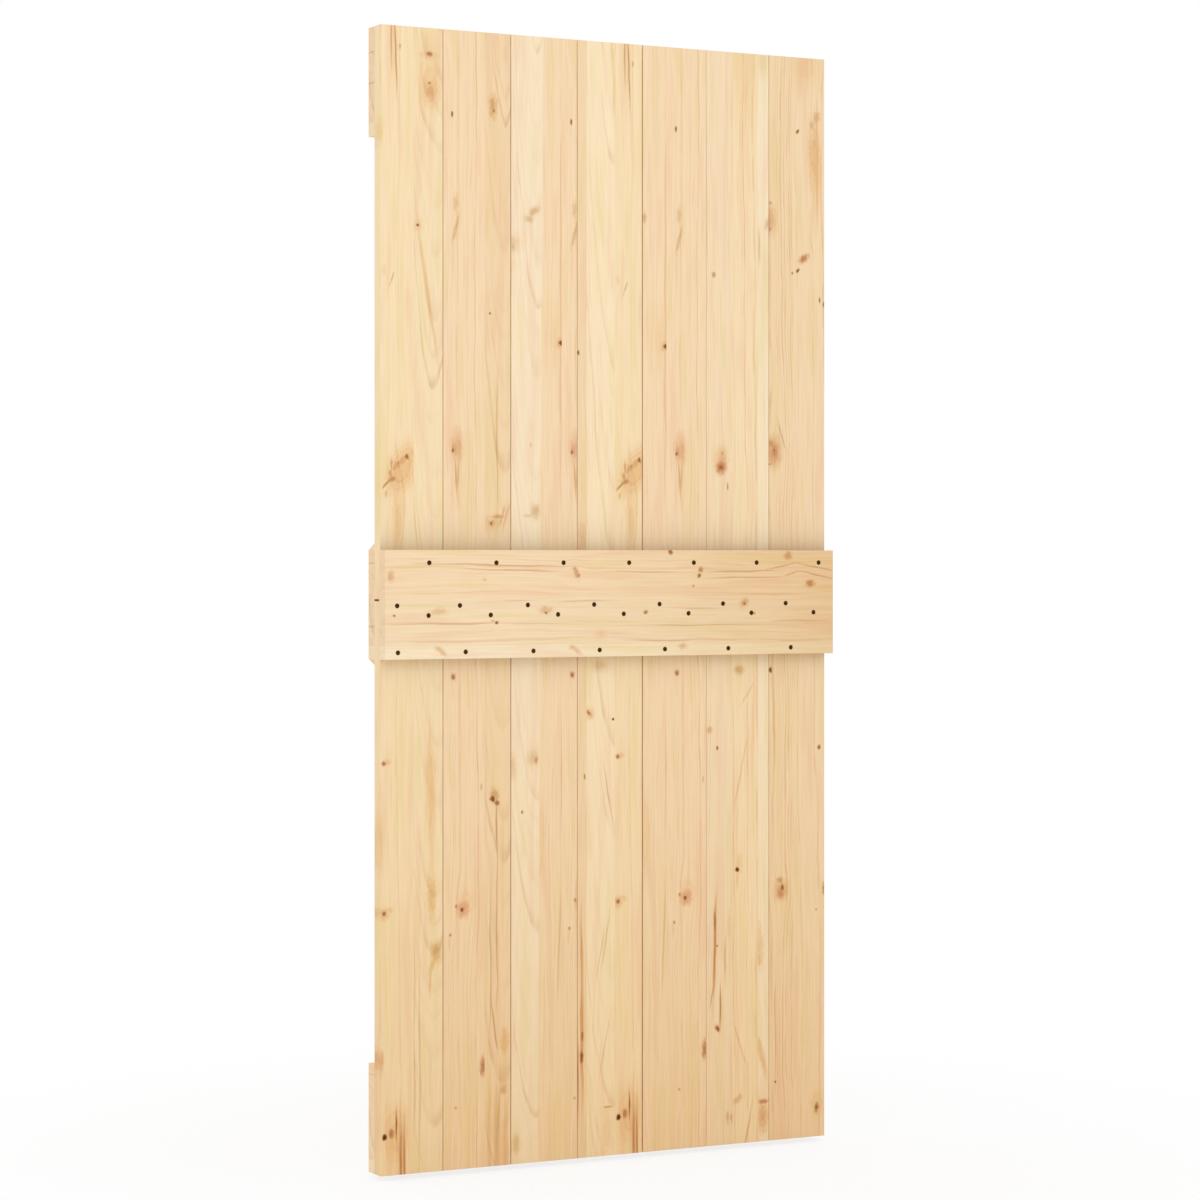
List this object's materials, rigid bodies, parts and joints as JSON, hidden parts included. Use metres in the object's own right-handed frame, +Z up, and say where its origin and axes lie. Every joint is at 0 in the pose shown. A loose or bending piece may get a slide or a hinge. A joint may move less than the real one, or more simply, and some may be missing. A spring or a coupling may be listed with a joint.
{
  "type": "sliding door leaf",
  "caption": "Plank sliding door leaf of upright tongue-and-groove pine boards, with a screwed back rail, front rails and slanting braces; hangs from a track.",
  "frame": {"origin": "middle of the leaf's top edge, on the boards' end grain, half way through the boards' thickness", "axes": "+Z up the boards, +X along the width to the right as seen from the back, +Y towards the braced front"},
  "size_m": [0.95, 0.084, 2.1],
  "materials": {
    "board_pine": "planed, unfinished",
    "rail_pine": "planed, unfinished",
    "screw_steel": "dark brown coating"
  },
  "bodies": {
    "root": {"board_1": "board_pine", "board_2": "board_pine", "board_3": "board_pine", "board_4": "board_pine", "board_5": "board_pine", "board_6": "board_pine", "board_7": "board_pine", "back_mid_rail": "rail_pine", "front_top_rail": "rail_pine", "front_mid_rail": "rail_pine", "front_bottom_rail": "rail_pine", "front_upper_brace": "rail_pine", "front_lower_brace": "rail_pine", "board_1_screws": "screw_steel", "board_2_screws": "screw_steel", "board_3_screws": "screw_steel", "board_4_screws": "screw_steel", "board_5_screws": "screw_steel", "board_6_screws": "screw_steel", "board_7_screws": "screw_steel"}
  },
  "joints": []
}
